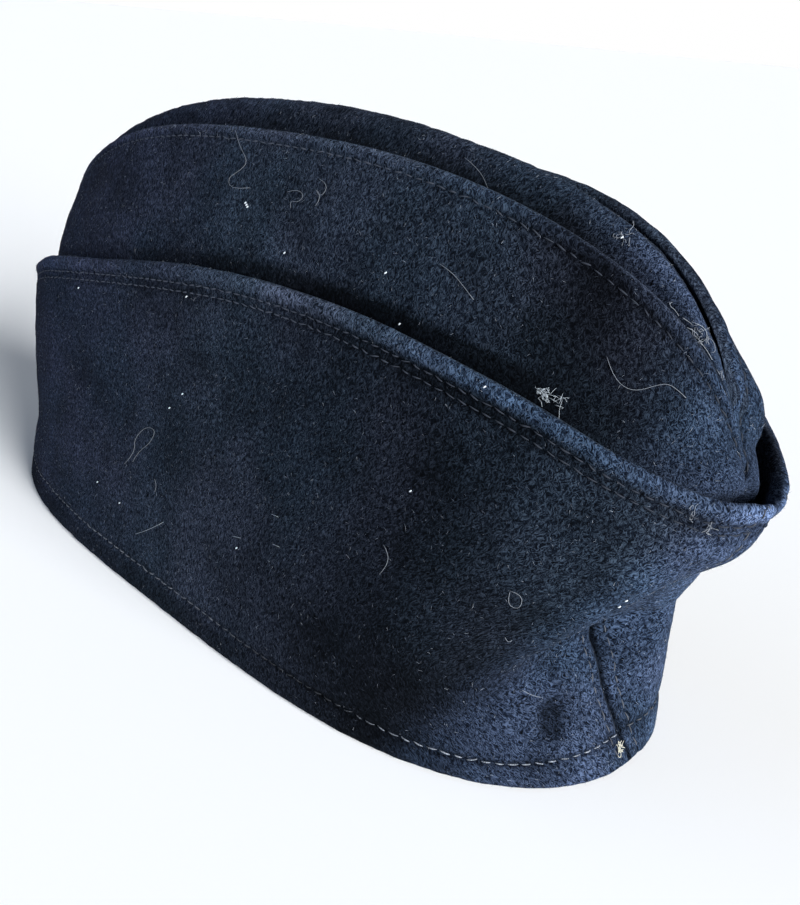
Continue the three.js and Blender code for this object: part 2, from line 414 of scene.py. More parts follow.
class Cloth:
    """A piece's places[column, row], with the way round its section closed by a repeated row."""

    def __init__(self, net, along_size, around_size):
        closed = np.concatenate([net, net[:, :1]], axis=1)
        around = steps(gaps(closed, 1).max(axis=0), around_size)
        sections = through(net.swapaxes(0, 1), around, closed=True).swapaxes(0, 1)
        along = steps(gaps(net, 0).max(axis=1), along_size)
        self.places = through(sections, along)
        self.corner = around
        first_row, first_column = np.zeros((len(along), 1)), np.zeros((1, len(around)))
        self.down = np.concatenate([first_row, gaps(self.places, 1).cumsum(axis=1)], axis=1)
        self.run = np.concatenate([first_column, gaps(self.places, 0).cumsum(axis=0)])
        self.left = self.run
        self.right = self.run[-1] - self.run
        self.normals = self.facing()
        self.rubbed = np.zeros(self.down.shape)
        self.pressed = np.zeros(self.down.shape)
        self.shown = np.zeros(self.down.shape)

    def facing(self):
        """Unit directions out of the cloth at every place."""
        wrapped = np.concatenate([self.places[:, -2:-1], self.places, self.places[:, 1:2]], axis=1)
        across = wrapped[:, 2:] - wrapped[:, :-2]
        out = np.cross(np.gradient(self.places, axis=0), across)
        out /= np.maximum(np.linalg.norm(out, axis=-1, keepdims=True), 1e-12)
        centre = self.places.mean(axis=1, keepdims=True)
        return out if (out * (self.places - centre)).sum() > 0 else -out

    def push(self, height):
        """Moves every place out of the cloth by a height in metres, and in where it is negative."""
        height = np.concatenate([height[:, :-1], height[:, :1]], axis=1)
        self.places = self.places + self.normals * height[..., None]
        self.places[..., 2] = np.maximum(self.places[..., 2], 0)
        self.normals = self.facing()


# %% [markdown]
# ## Five cloths
#
# A wall's net has 28 corners in each section: 13 down the outside to its foot, then back up the
# inside. The cuff hides the crown below its fourth corner, and the crown is shaped down to its
# seventh. The strip has 18, eight of them across its face. Only what shows gets the fine steps.

# %% Draw the five cloths
wall_corners, strip_corners = 28, 18
cuff_foot_corner = 13
crown_hidden_corner = 7
ridge_inside_corner = 25
strip_face_corner = 8
fine, coarse = 0.9 * mm, 3.5 * mm
on_wall, on_strip = np.arange(wall_corners), np.arange(strip_corners)
cuff_rows = np.where(on_wall < cuff_foot_corner, fine, coarse)
cuff_rows[-1] = 0.6 * mm
crown_fine = (on_wall < crown_hidden_corner - 1) | (on_wall > ridge_inside_corner)
crown_rows = np.where(crown_fine, fine, coarse)
insert_rows = np.where(on_strip < strip_face_corner, 0.8 * mm, coarse)
cloth_steps = {
    "cuff_near_side": (0.8, cuff_rows),
    "cuff_far_side": (1.1, cuff_rows * 1.25),
    "crown_near_side": (0.8, crown_rows),
    "crown_far_side": (1.1, crown_rows * 1.25),
    "crown_top_insert": (0.9, insert_rows),
}
cloths = {
    name: Cloth(nets[name], along_size * mm, around_size)
    for name, (along_size, around_size) in cloth_steps.items()
}
for name, cloth in cloths.items():
    print(name, "columns", cloth.places.shape[0], "rows", cloth.places.shape[1])

# %% [markdown]
# ## Rows of stitching
#
# A row of topstitching runs at a fixed distance from an edge or a seam. That line is read from the
# smooth skin before anything is pushed, so the thread and the pucker that it pulls into the cloth
# come from one and the same line. Wool as thick as this swells between two rows and sinks at every
# needle hole.

# %% Find a line on the cloth
def mark_down(measure, distance, rows):
    """Marks (column, row) where the measure, which changes with the rows, is that distance."""
    order = np.argsort(measure[0])
    found = [np.interp(distance, reading[order], order) for reading in measure]
    return np.stack([np.arange(len(measure)), np.array(found) + rows.start], axis=1)


def mark_beside(measure, distance, rows):
    """Marks (column, row) where the measure, which changes with the columns, is that distance."""
    order = np.argsort(measure[:, 0])
    found = [np.interp(distance, reading[order], order) for reading in measure.T]
    return np.stack([np.array(found), np.arange(measure.shape[1]) + rows.start], axis=1)


def at_marks(values, marks):
    """The cloth's values at the marks, between its columns and rows."""
    low = np.minimum(marks.astype(int), np.array(values.shape[:2]) - 2)
    share = marks - low
    column, row = low.T
    right, under = share[:, :1], share[:, 1:]
    upper = values[column, row] * (1 - right) + values[column + 1, row] * right
    lower = values[column, row + 1] * (1 - right) + values[column + 1, row + 1] * right
    return upper * (1 - under) + lower * under


def lengths_along(points):
    """How far along a line each of its points is."""
    return np.concatenate([[0], np.linalg.norm(np.diff(points, axis=0), axis=1).cumsum()])


# %% [markdown]
# ## Soft steps and unevenness
#
# Everything that shapes the cloth from here on is a height over it that fades in and out. Three
# small functions make all of them: a soft step, a soft hump, and a soft noise.

# %% Define the soft steps
def between(value, low, high):
    """0 below low, 1 above high, and a soft rise from one to the other."""
    share = np.clip((value - low) / (high - low), 0, 1)
    return share * share * (3 - 2 * share)


def rise(value, middle, width):
    """A soft hump: 1 in the middle, nearly 0 at twice the width from it."""
    return np.exp(-(((value - middle) / width) ** 2))


def grain(places, size, seed, octaves=3):
    """Soft noise of about that size over the cloth, from about -1 to 1."""
    flat = places.reshape(-1, 3) / size + seed
    values = [noise.fractal(Vector(place), 0.9, 2.0, octaves) for place in flat]
    return np.array(values).reshape(places.shape[:2])


# %% [markdown]
# ## The pucker of a row
#
# The thread pulls the cloth into a shallow groove, deepest at each needle hole, and the groove
# is painted darker, as painted shade in it.

# %% Sew a row
stitch_length = 3.1 * mm
groove_depth = 0.62 * mm
groove_width = 0.85 * mm
stitch_lines = {name: [] for name in cloths}


def pucker(off, clock, strength):
    """The height beside a stitched line: `off` is how far from it, `clock` how far along."""
    groove = np.exp(-((off / groove_width) ** 2))
    holes = 0.72 + 0.28 * np.cos(2 * math.pi * clock / stitch_length)
    return -groove_depth * strength * groove * holes


def sew(name, measure, distance, rows, thread, strength=1.0, beside=False):
    """Sews a row where the measure is that distance: notes its line, paints shade in its groove and
    returns its pucker.
    """
    cloth = cloths[name]
    marks = (mark_beside if beside else mark_down)(measure, distance, rows)
    clock = lengths_along(at_marks(cloth.places, marks))
    stitch_lines[name].append((marks, clock, thread))
    height = np.zeros(cloth.down.shape)
    along = clock[None, :] if beside else clock[:, None]
    height[:, rows] = pucker(measure - distance, along, strength)
    # Painted shade: the groove beside the row is painted darker.
    cloth.pressed[:, rows] += 0.36 * strength * rise(measure, distance, 1.1 * groove_width)
    return height

# %% [markdown]
# ## Forms of the cuff
#
# The cuff is the cap's deepest piece. A slack fold slants across it near the pointed end, and
# there is a small upright dent by its foot. Each could be painted as a shadow, but they show at
# the outline and in the light, so the cloth itself is pushed: out where it swells, in where it
# is held. The dent is painted darker as well, as painted shade, and beyond the fold's crease the
# cloth is painted paler, as painted light with some wear.

# %% Define the fold and the dent
crease_place, crease_level = 97 * mm, 20 * mm
crease_slope = 0.73
crease_width = 4.5 * mm
crease_height = 1.5 * mm
dent_in_picture = (553, 722)
dent_width, dent_depth = 5.0 * mm, 1.4 * mm
dent_upright = (1.55, 1.55, 1.0)


def off_crease(places):
    """How far every place is beyond the line of the crease, to the right."""
    x, level = places[..., 0], places[..., 2]
    return (x - crease_place) - (level - crease_level) * crease_slope


def slack_fold(places, foot):
    """The height of the fold, which swells on the left of its crease and sinks on the right."""
    off = off_crease(places)
    fold = -off / crease_width * np.exp(-((off / crease_width) ** 2))
    from_left = between(places[..., 0], 84 * mm, 96 * mm)
    return crease_height * fold * from_left * between(foot, 2 * mm, 14 * mm)


def dent_share(places):
    """1 in the middle of the dent, fading to 0 around it."""
    missed = np.linalg.norm(in_picture(places) - np.array(dent_in_picture), axis=-1)
    dent = places[np.unravel_index(missed.argmin(), missed.shape)]
    return rise(np.linalg.norm((places - dent) * dent_upright, axis=-1), 0, dent_width)


# %% [markdown]
# ## Seams, hems, wear, painted light and painted shade of the cuff
# #
# The cuff's top edge is turned in and sewn down with two rows, its foot has one row, and each half
# is joined to the other by a seam at each end, sewn down on both sides. Hands rub the hem. Beyond the
# fold's crease the pointed end is painted paler, partly wear and partly painted light, and the
# middle of the cuff is painted darker as painted shade, more so towards its foot.

# %% Define the seams, the wear, and the painted light and shade
hem_first, hem_second = 4.9 * mm, 7.0 * mm
foot_row, seam_row = 7.4 * mm, 3.6 * mm
seam_depth = 0.75 * mm


def sew_end_seams(name, cloth, rows, foot, shown, height):
    """Sinks the two end seams, with a soft ridge and a row of stitches beside each."""
    off_floor = between(foot, 1 * mm, 9 * mm)
    for beside in (cloth.left[:, rows], cloth.right[:, rows]):
        shown -= seam_depth * off_floor * rise(beside, 0, 1.1 * mm)
        shown += 0.3 * mm * off_floor * rise(beside, 2.1 * mm, 1.0 * mm)
        # Painted shade: the sunk seam is painted darker.
        cloth.pressed[:, rows] += 0.6 * rise(beside, 0, 0.8 * mm)
        height += sew(name, beside, seam_row, rows, "grey", 0.45, beside=True)


def paint_cuff_wear_light_and_shade(cloth, rows, down, foot):
    """Notes where the cuff is painted paler, on the worn hem and, as painted light with some wear,
    beyond the fold's crease, and darker: in the middle as painted shade, and on its left.
    """
    x = cloth.places[:, rows, 0]
    # Painted light with some wear: beyond the fold's crease, towards the pointed end, the cuff is
    # painted paler.
    cloth.rubbed += 1.16 * between(off_crease(cloth.places), -10 * mm, 4 * mm)
    hem_worn = 0.66 + 0.5 * rise(x, 30 * mm, 36 * mm)
    cloth.rubbed[:, rows] += hem_worn * between(down, 4.9 * mm, 2.4 * mm)
    # Painted shade: below the hem the middle of the cuff is painted darker, and more so towards its
    # foot.
    middle = rise(x, 80 * mm, 42 * mm)
    off_hem = between(down, 2.6 * mm, 4.9 * mm)
    low = 0.72 + 0.25 * between(foot, 45 * mm, 20 * mm)
    cloth.pressed[:, rows] += off_hem * middle * low
    left = between(x, 60 * mm, 20 * mm)
    below_hem = between(down, 5 * mm, 8 * mm)
    cloth.pressed[:, rows] += 0.16 * left * between(foot, 24 * mm, 55 * mm) * below_hem
    cloth.pressed[:, rows] += 0.6 * between(foot, 6.8 * mm, 5 * mm) * left


# %% [markdown]
# ## Pushing the cuff
#
# At the blunt end the hem dips; everything else is a height over the cloth. The heights are added
# up first and pushed once, because a second push would follow normals that the first has tilted.
# The noises come in three sizes: slack as wide as a thumb is long, lumps of felt, and nubs.

# %% Push the cuff
corner_drop = 2.8 * mm
lump_sizes = ((0.14, 5.5, 5, 3), (0.06, 1.6, 9, 2))


def roughen(shown, places, seed, layers):
    """Adds soft noises, each given as a height and a size in millimetres, a seed and octaves."""
    for height, size, step, octaves in layers:
        shown += height * mm * grain(places, size * mm, seed + step, octaves)


def shape_cuff(name, seed):
    cloth = cloths[name]
    high = between(cloth.places[..., 2], 50 * mm, 74 * mm)
    cloth.places[..., 2] -= corner_drop * high * between(cloth.left, 55 * mm, 28 * mm)
    rows = slice(0, np.flatnonzero(cloth.corner <= cuff_foot_corner)[-1] + 1)
    height = np.zeros(cloth.down.shape)
    down, places = cloth.down[:, rows], cloth.places[:, rows]
    foot = down[:, -1:] - down
    shown = height[:, rows]
    shown += 0.6 * mm * rise(down, 1.6 * mm, 2.2 * mm)
    shown += 0.35 * mm * rise(foot, 2.5 * mm, 2.6 * mm)
    shown += 0.7 * mm * between(foot, 0, 10 * mm) * grain(places, 38 * mm, seed, 2)
    roughen(shown, places, seed, lump_sizes)
    shown += slack_fold(places, foot)
    if name == "cuff_near_side":
        dented = dent_share(places)
        shown -= dent_depth * dented
        # Painted shade: the dent is painted darker.
        cloth.pressed[:, rows] += 0.65 * dented
    sew_end_seams(name, cloth, rows, foot, shown, height)
    for distance in (hem_first, hem_second):
        height += sew(name, down, distance, rows, "dark")
    height += sew(name, foot, foot_row, rows, "pale")
    cloth.push(height)
    paint_cuff_wear_light_and_shade(cloth, rows, down, foot)
    cloth.shown[:, rows] = 1
    print(name, "pushed", (height.min() / mm).round(2), "to", (height.max() / mm).round(2), "mm")


shape_cuff("cuff_near_side", 3.1)
shape_cuff("cuff_far_side", 17.3)

# %% [markdown]
# ## The crown's pointed end
#
# Inside the cuff's point the cap's end stands upright and fills the cuff, more on the far side
# than on the near. The solids' ends slope instead, so the panels' ends are drawn out here, the
# far one by up to 6.2 mm, and pulled in a little above, where the picture shows a waist.

# %% Fill the end
end_level, end_slope, end_reach = 82 * mm, 0.62, 6.2 * mm
waist_level, waist_depth = 89 * mm, 2.2 * mm


def fill_the_end(name, full):
    """Draws a panel's end out towards the cuff's point: full is how much more than a quarter."""
    cloth = cloths[name]
    x, level = cloth.places[..., 0], cloth.places[..., 2]
    below = np.clip((end_level - level) * end_slope, 0, end_reach)
    below *= between(level, 50 * mm, 62 * mm)
    above = -waist_depth * rise(level, waist_level, 4.5 * mm)
    beside = 0.25 + full * between(cloth.right, 0.3 * mm, 3 * mm)
    beside = beside * between(cloth.right, 17 * mm, 5 * mm)
    cloth.places[..., 0] += (below + above) * beside * between(x, 90 * mm, 105 * mm)
    cloth.normals = cloth.facing()
    print(name, "now ends at", (cloth.places[..., 0].max() / mm).round(1), "mm")


fill_the_end("crown_near_side", 0.0)
fill_the_end("crown_far_side", 0.75)

# %% [markdown]
# ## Shaping the crown
#
# The side panels are folded over at the ridge and sewn a little below it. Behind the cuff's edge
# they sink in a long hollow, where the cuff holds them, and a band just above the cuff's edge is
# painted dark as the cuff's painted contact shadow. The point is painted paler, partly as painted
# light. The part that the cuff hides stays plain.

# %% Push the crown
ridge_row = 3.4 * mm
hollow_depth = 1.1 * mm
fine_lump_sizes = ((0.18, 6, 5, 3), (0.07, 1.6, 9, 2))
cuff_edge_corner = 4


def paint_crown_wear_light_and_shade(cloth, rows, down, cuff_edge):
    """Notes where a panel is rubbed along the ridge, where it is painted paler at the point, partly wear
    and partly painted light, and where it is painted darker, with a painted contact shadow above the
    cuff's edge.
    """
    x = cloth.places[:, rows, 0]
    cloth.pressed[:, rows] += 0.25 * between(x, 20 * mm, 60 * mm)
    cloth.pressed[:, rows] += 0.72 * rise(x, 97 * mm, 17 * mm)
    ridge_worn = 1.1 - 0.7 * between(x, 30 * mm, 90 * mm)
    cloth.rubbed[:, rows] += ridge_worn * rise(down, 0, 2.2 * mm)
    # Paler at the point: partly wear, partly painted light where the lamp falls.
    cloth.rubbed[:, rows] += 0.9 * between(x, 106 * mm, 128 * mm)
    # Painted shade: the cuff's contact shadow, a dark band just above its edge, fading on the left and
    # at the point.
    contact_shadow_share = 0.3 + 0.7 * between(x, -60 * mm, 10 * mm)
    contact_shadow_share = contact_shadow_share * between(x, 99 * mm, 86 * mm)
    cloth.pressed[:, rows] += 0.9 * contact_shadow_share * between(down - cuff_edge, -9.5 * mm, -5.5 * mm)


def shape_crown(name, seed):
    cloth = cloths[name]
    rows = slice(0, np.flatnonzero(cloth.corner <= crown_hidden_corner)[-1] + 1)
    height = np.zeros(cloth.down.shape)
    down, places = cloth.down[:, rows], cloth.places[:, rows]
    shown = height[:, rows]
    shown += 0.4 * mm * rise(down, 1.3 * mm, 1.6 * mm)
    full = between(down, 3 * mm, 14 * mm)
    shown += 0.8 * mm * full * grain(places, 30 * mm, seed, 2)
    roughen(shown, places, seed, fine_lump_sizes)
    cuff_edge = down[:, np.abs(cloth.corner[rows] - cuff_edge_corner).argmin()][:, None]
    hollow = hollow_depth * rise(down - cuff_edge, 0, 4.5 * mm)
    shown -= hollow * between(cloth.right[:, rows], 4 * mm, 20 * mm)
    height[:, rows] *= between(cloth.corner[rows], crown_hidden_corner, crown_hidden_corner - 2)
    height += sew(name, down, ridge_row, rows, "dark", 0.8)
    cloth.push(height)
    paint_crown_wear_light_and_shade(cloth, rows, down, cuff_edge)
    cloth.shown[:, rows] = down < cuff_edge + mm
    print(name, "pushed", (height.min() / mm).round(2), "to", (height.max() / mm).round(2), "mm")


shape_crown("crown_near_side", 31.7)
shape_crown("crown_far_side", 43.9)

# %% [markdown]
# ## Shaping the strip
#
# The strip between the ridges isn't flat: a valley runs along its near side and a soft crest
# along its middle, with a lower one by the far ridge. Both fade where the strip is narrow. It is
# painted dark along its two edges as painted shade, where the ridges stand over it, and paler
# towards the pointed end, partly as painted light.

# %% Push the strip
valley_depth, crest_height = 1.5 * mm, 0.8 * mm
strip_lump_sizes = ((0.25, 7, 5, 3), (0.09, 1.7, 9, 2))
insert = cloths["crown_top_insert"]
rows = slice(0, np.flatnonzero(insert.corner <= strip_face_corner)[-1] + 1)
height = np.zeros(insert.down.shape)
shown, width = height[:, rows], insert.down[:, rows][:, -1:]
across = insert.down[:, rows] / width
wide = between(width, 4 * mm, 14 * mm)
shown += wide * valley_depth * -rise(across, 0.14, 0.13)
shown += wide * crest_height * rise(across, 0.52, 0.17)
shown += wide * 0.7 * crest_height * rise(across, 0.86, 0.1)
roughen(shown, insert.places[:, rows], 52.0, strip_lump_sizes)
insert.push(height)
x = insert.places[:, rows, 0]
insert.rubbed[:, rows] += 0.25 * rise(across, 0.5, 0.2)
# Paler towards the pointed end: partly wear, partly painted light.
insert.rubbed[:, rows] += 0.6 * between(x, 80 * mm, 112 * mm)
insert.pressed[:, rows] += 0.15 + 0.2 * rise(x, 50 * mm, 35 * mm)
# Painted shade: dark along both edges, under the ridges.
insert.pressed[:, rows] += 0.75 * rise(across, 0.1, 0.17) + 0.6 * rise(across, 1, 0.1)
insert.shown[:, rows] = 1
print("strip up to", (width.max() / mm).round(1), "mm wide")

# %% [markdown]
# ## Making the meshes
#
# A grid from bmesh has the right faces already, so its vertices are only sent to the cloth's
# places. Its first and last rows meet and are merged, which closes the section to a tube, and the
# two open ends are filled. The grid's own map from 0 to 1 stays as the piece's UV map.

# %% Turn places into cloth
def cloth_object(name, cloth):
    columns, rows = cloth.places.shape[:2]
    bm = bmesh.new()
    whole = bm.loops.layers.uv.new("OFBake")
    bmesh.ops.create_grid(bm, x_segments=columns - 1, y_segments=rows - 1, size=0.5, calc_uvs=True)
    spread = bm.loops.layers.uv.new("cloth")
    run, down = cloth.run.mean(axis=1), cloth.down.mean(axis=0)
    for vert in bm.verts:
        column, row = vert.index % columns, vert.index // columns
        vert.co = cloth.places[column, row]
        for loop in vert.link_loops:
            loop[spread].uv = run[column], down[row]
            loop[whole].uv = column / (columns - 1), row / (rows - 1)
    # The painted paleness (wear and painted light), the painted darkness (pressed nap and painted
    # shade), and where the cloth shows.
    kept = {key: bm.verts.layers.float.new(key) for key in ("rubbed", "pressed", "shown")}
    for vert in bm.verts:
        place = vert.index % columns, vert.index // columns
        for key, layer in kept.items():
            vert[layer] = getattr(cloth, key)[place]
    bmesh.ops.remove_doubles(bm, verts=bm.verts, dist=1e-7)
    bmesh.ops.holes_fill(bm, edges=[edge for edge in bm.edges if edge.is_boundary], sides=0)
    bmesh.ops.recalc_face_normals(bm, faces=bm.faces)
    piece = object_of(name, bm, smooth=True)
    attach(piece, "root")
    return piece


pieces = {}
for name, cloth in cloths.items():
    pieces[name] = cloth_object(name + "_wool", cloth)
    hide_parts(name)
    area = sum(face.area for face in pieces[name].data.polygons)
    print(pieces[name].name, len(pieces[name].data.polygons), "faces", round(area * 10000), "square cm")

# %% [markdown]
# ## The thread
#
# Each stitch is a short thick thread that dips into the cloth at both ends. One is shaped from a
# round ball, drawn long and bent down, and its copies are turned to the line that they sew. The
# lines are read again from the pushed cloth, so no stitch floats or drowns.

# %% Shape one stitch
thread_radius = 0.18 * mm
stitch_share = 0.86
stitch_dip = 0.3 * mm
thread_rise = 0.06 * mm


def one_stitch():
    bm = bmesh.new()
    bmesh.ops.create_uvsphere(bm, u_segments=6, v_segments=6, radius=1.0)
    bmesh.ops.rotate(bm, verts=bm.verts, matrix=Matrix.Rotation(math.pi / 2, 3, "Y"))
    half = stitch_length * stitch_share / 2
    bmesh.ops.scale(bm, verts=bm.verts, vec=(half, thread_radius, thread_radius))
    for vert in bm.verts:
        vert.co.z += thread_rise - stitch_dip * (vert.co.x / half) ** 2
    mesh = bpy.data.meshes.new("one stitch")
    bm.to_mesh(mesh)
    bm.free()
    return mesh


stitch = one_stitch()
print("one stitch", len(stitch.polygons), "faces")

# %% [markdown]
# ## Laying the rows
#
# A Curve modifier could bend a row of copies along a line, but every stitch would then be alike.
# Here each copy is turned by hand, a little off the line and a little longer or shorter, because
# thread on thick wool never lies quite true. All stitches of one thread become one mesh, and each
# gets its own small cell of the mesh's map, so that no two share a place on it.

# %% Sew
def map_in_cells(mesh, faces_in_cell):
    """Gives every few faces, such as one stitch's, their own small cell of the piece's map."""
    corners = np.array([face.loop_total for face in mesh.polygons])
    number = np.repeat(np.arange(len(corners)) // faces_in_cell, corners)
    turn = np.concatenate([np.arange(count) / count for count in corners]) * 2 * math.pi
    cells = math.ceil((number.max() + 1) ** 0.5)
    spot = np.stack([number % cells, number // cells], axis=1) + 0.5
    spot = (spot + 0.4 * np.stack([np.cos(turn), np.sin(turn)], axis=1)) / cells
    mesh.uv_layers.new(name="OFBake").uv.foreach_set("vector", spot.astype(np.float32).ravel())


def sewn(name, thread):
    """Every stitch of a piece's rows in that thread, in one mesh."""
    draw = np.random.default_rng(7)
    cloth = cloths[name]
    bm = bmesh.new()
    for marks, clock, used in stitch_lines[name]:
        if used != thread:
            continue
        points, out = at_marks(cloth.places, marks), at_marks(cloth.normals, marks)
        for place in np.arange(0.5, clock[-1] / stitch_length - 0.5) * stitch_length:
            at, ahead, behind = (
                Vector([np.interp(place + off, clock, points[:, axis]) for axis in range(3)])
                for off in (0, stitch_length / 3, -stitch_length / 3)
            )
            up = Vector([np.interp(place, clock, out[:, axis]) for axis in range(3)]).normalized()
            along = (ahead - behind).normalized()
            side = up.cross(along).normalized()
            turn = Matrix((along, side, along.cross(side))).transposed()
            lean = Matrix.Rotation(draw.normal(0, 0.14), 3, "Z")
            lean = lean @ Matrix.Diagonal((draw.uniform(0.75, 1.05), draw.uniform(0.7, 1.1), 1.0))
            before = len(bm.verts)
            bm.from_mesh(stitch)
            bm.verts.ensure_lookup_table()
            there = Matrix.Translation(at) @ (turn @ lean).to_4x4()
            bmesh.ops.transform(bm, matrix=there, verts=bm.verts[before:])
    piece = object_of(f"{name}_{thread}_stitches", bm, smooth=True)
    map_in_cells(piece.data, len(stitch.polygons))
    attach(piece, "root")
    return piece


threads = {name: [] for name in cloths}
for name, lines in stitch_lines.items():
    for thread in sorted({used for *_, used in lines}):
        piece = sewn(name, thread)
        threads[name].append(piece)
        print(piece.name, len(piece.data.polygons) // len(stitch.polygons), "stitches")

# %% [markdown]
# ## Helpers for nodes
#
# Nodes can be added and linked one call at a time, but then a material of thirty nodes fills a
# page. These few functions add a node, set it and link its inputs in one line.

# %% Define the helpers
def node(tree, kind, settings=None, **inputs):
    """A node with its settings, and each input given as a value or as another node's output."""
    made = tree.nodes.new(kind)
    for key, value in (settings or {}).items():
        setattr(made, key, value)
    for key, value in inputs.items():
        socket = made.inputs[int(key[1:]) if key[0] == "_" else key.replace("_", " ")]
        if isinstance(value, bpy.types.NodeSocket):
            tree.links.new(value, socket)
        else:
            socket.default_value = value
    return made


def sums(tree, operation, *values):
    """A Math node's output."""
    places = {f"_{number}": value for number, value in enumerate(values)}
    return node(tree, "ShaderNodeMath", {"operation": operation}, **places).outputs[0]


def vectors(tree, operation, first, second):
    """A Vector Math node's output."""
    chosen = {"operation": operation}
    return node(tree, "ShaderNodeVectorMath", chosen, _0=first, _1=second).outputs[0]


def times(tree, vector, value):
    """A vector or colour, scaled by a value."""
    chosen = {"operation": "SCALE"}
    return node(tree, "ShaderNodeVectorMath", chosen, _0=vector, Scale=value).outputs[0]


# %% [markdown]
# ## Felted wool
#
# Wool cloth like this is woven, then milled until its fibres mat over the weave. What shows is a
# close nap of short curly hairs, all laid one way, with dark pores between them. A picture of felt
# could be wrapped on, but it would repeat. Stretched noises in three directions, bent by one more,
# make hairs that follow the cloth's own map in millimetres, and the same pattern lifts the surface
# a little.

# %% Group: matted nap
hair_angles = (8, -34, 52)
top_share, under_share = 0.75, 0.35


def group_of(name, inputs, outputs):
    """A shader node group with named sockets, and its nodes for input and output."""
    tree = bpy.data.node_groups.new(name, "ShaderNodeTree")
    for socket, value in inputs.items():
        made = tree.interface.new_socket(socket, in_out="INPUT", socket_type="NodeSocketFloat")
        made.default_value = value
    for socket in outputs:
        tree.interface.new_socket(socket, in_out="OUTPUT", socket_type="NodeSocketFloat")
    return tree, tree.nodes.new("NodeGroupInput"), tree.nodes.new("NodeGroupOutput")


nap, nap_in, nap_out = group_of(
    "matted nap", {"Hairs per mm": 3.0, "Hair length mm": 1.6, "Curl": 0.8}, ["Hairs", "Height"]
)
in_metres = node(nap, "ShaderNodeUVMap", {"uv_map": "cloth"}).outputs[0]
in_mm = times(nap, in_metres, 1000.0)
flat_noise = {"noise_dimensions": "2D"}
bend = node(nap, "ShaderNodeTexNoise", flat_noise, Vector=in_mm, Scale=0.55, Detail=2.0)
centred = vectors(nap, "SUBTRACT", bend.outputs["Color"], (0.5, 0.5, 0.5))
bent = vectors(nap, "ADD", in_mm, times(nap, centred, nap_in.outputs["Curl"]))


def hair_layer(angle):
    """Hairs of the nap that lie that many degrees off straight down the cloth."""
    about_z = {"rotation_type": "Z_AXIS"}
    turned = node(nap, "ShaderNodeVectorRotate", about_z, Vector=bent, Angle=math.radians(angle))
    parts = node(nap, "ShaderNodeSeparateXYZ", _0=turned.outputs[0]).outputs
    close = sums(nap, "MULTIPLY", parts[0], nap_in.outputs["Hairs per mm"])
    drawn = sums(nap, "DIVIDE", parts[1], nap_in.outputs["Hair length mm"])
    there = node(nap, "ShaderNodeCombineXYZ", _0=close, _1=drawn, _2=float(angle)).outputs[0]
    hairs = node(nap, "ShaderNodeTexNoise", Vector=there, Scale=1.0, Detail=3.0, Roughness=0.62)
    return hairs.outputs[0]


layers = [hair_layer(angle) for angle in hair_angles]
top_hairs = sums(nap, "MULTIPLY", sums(nap, "MAXIMUM", layers[0], layers[1]), top_share)
spread_hairs = sums(nap, "MULTIPLY_ADD", layers[2], under_share, top_hairs)
for socket in ("Hairs", "Height"):
    nap.links.new(spread_hairs, nap_out.inputs[socket])
print("node group", nap.name)

# %% [markdown]
# ## The wool's colour
#
# The pores are almost black, the hairs a dark navy, and the tips of some hairs catch the light.
# Where the cloth is rubbed, on hems and ridges, the tips are pale and stand up, and the pointed end
# is painted pale the same way, partly as painted light. Where a seam presses it, and in stitch
# grooves, the dent, the band above the cuff, the strip's edges and the cuff's middle, the nap is
# painted dark, mostly as painted shade. Both are kept as values on the cloth's vertices. One picked
# colour for each would do for plain felt, but the
# pattern of the nap shows only if each hair runs from dark to pale, so two colour ramps do it.

# %% Colour the nap
pore_colour = (0.0008, 0.0011, 0.0018)
hair_colour = (0.0041, 0.0059, 0.0106)
tip_colour = (0.041, 0.053, 0.074)
dusty_and_lit_colour = (0.0056, 0.0095, 0.0188)
pale_colour = (0.056, 0.082, 0.133)
nap_sizes = {"Hairs per mm": 3.7, "Hair length mm": 1.4, "Curl": 1.5}


def ramp(tree, value, *stops):
    """A colour ramp's colour, for stops given as (place, colour)."""
    made = node(tree, "ShaderNodeValToRGB", Fac=value)
    elements = made.color_ramp.elements
    while len(elements) < len(stops):
        elements.new(0.5)
    for element, (place, colour) in zip(elements, stops):
        element.position = place
        element.color = (*colour, 1)
    return made.outputs["Color"]


def named_value(tree, name):
    """A value kept on the mesh's vertices."""
    return node(tree, "ShaderNodeAttribute", {"attribute_name": name}).outputs["Fac"]


def mixed(tree, share, first, second):
    """Two colours, each plain or another node's, mixed by a share."""
    made = node(tree, "ShaderNodeMix", {"data_type": "RGBA"}, _0=share)
    for socket, value in ((made.inputs[6], first), (made.inputs[7], second)):
        if isinstance(value, bpy.types.NodeSocket):
            tree.links.new(value, socket)
        else:
            socket.default_value = (*value, 1)
    return made.outputs[2]


wool, wool_shader = shader_material("navy felted wool")
tree = wool.node_tree
matted = node(tree, "ShaderNodeGroup", {"node_tree": nap})
for socket, value in nap_sizes.items():
    matted.inputs[socket].default_value = value
hairs = matted.outputs["Hairs"]
rubbed, pressed = named_value(tree, "rubbed"), named_value(tree, "pressed")
flat_nap = ramp(tree, hairs, (0.45, pore_colour), (0.565, hair_colour), (0.68, tip_colour))
# Mixed in by the painted paleness: wear, and painted light at the pointed end.
raised_and_lit_nap = ramp(tree, hairs, (0.455, pore_colour), (0.555, dusty_and_lit_colour), (0.655, pale_colour))
colour = mixed(tree, rubbed, flat_nap, raised_and_lit_nap)
print("nap colours for", wool.name)

# %% [markdown]
# ## Patches, wear, painted light and shade, and uneven dye
# #
# Old wool is nowhere one colour. Cloudy patches lie over it, pressed cloth and painted shade are
# darker, much-rubbed cloth and painted light paler, and the dye leans to violet in one place and to
# green in the next. The blunt end is darker and bluer, and the worn hems are greyer. Each is one
# factor or tint, multiplied in turn, which keeps them apart and easy to change.

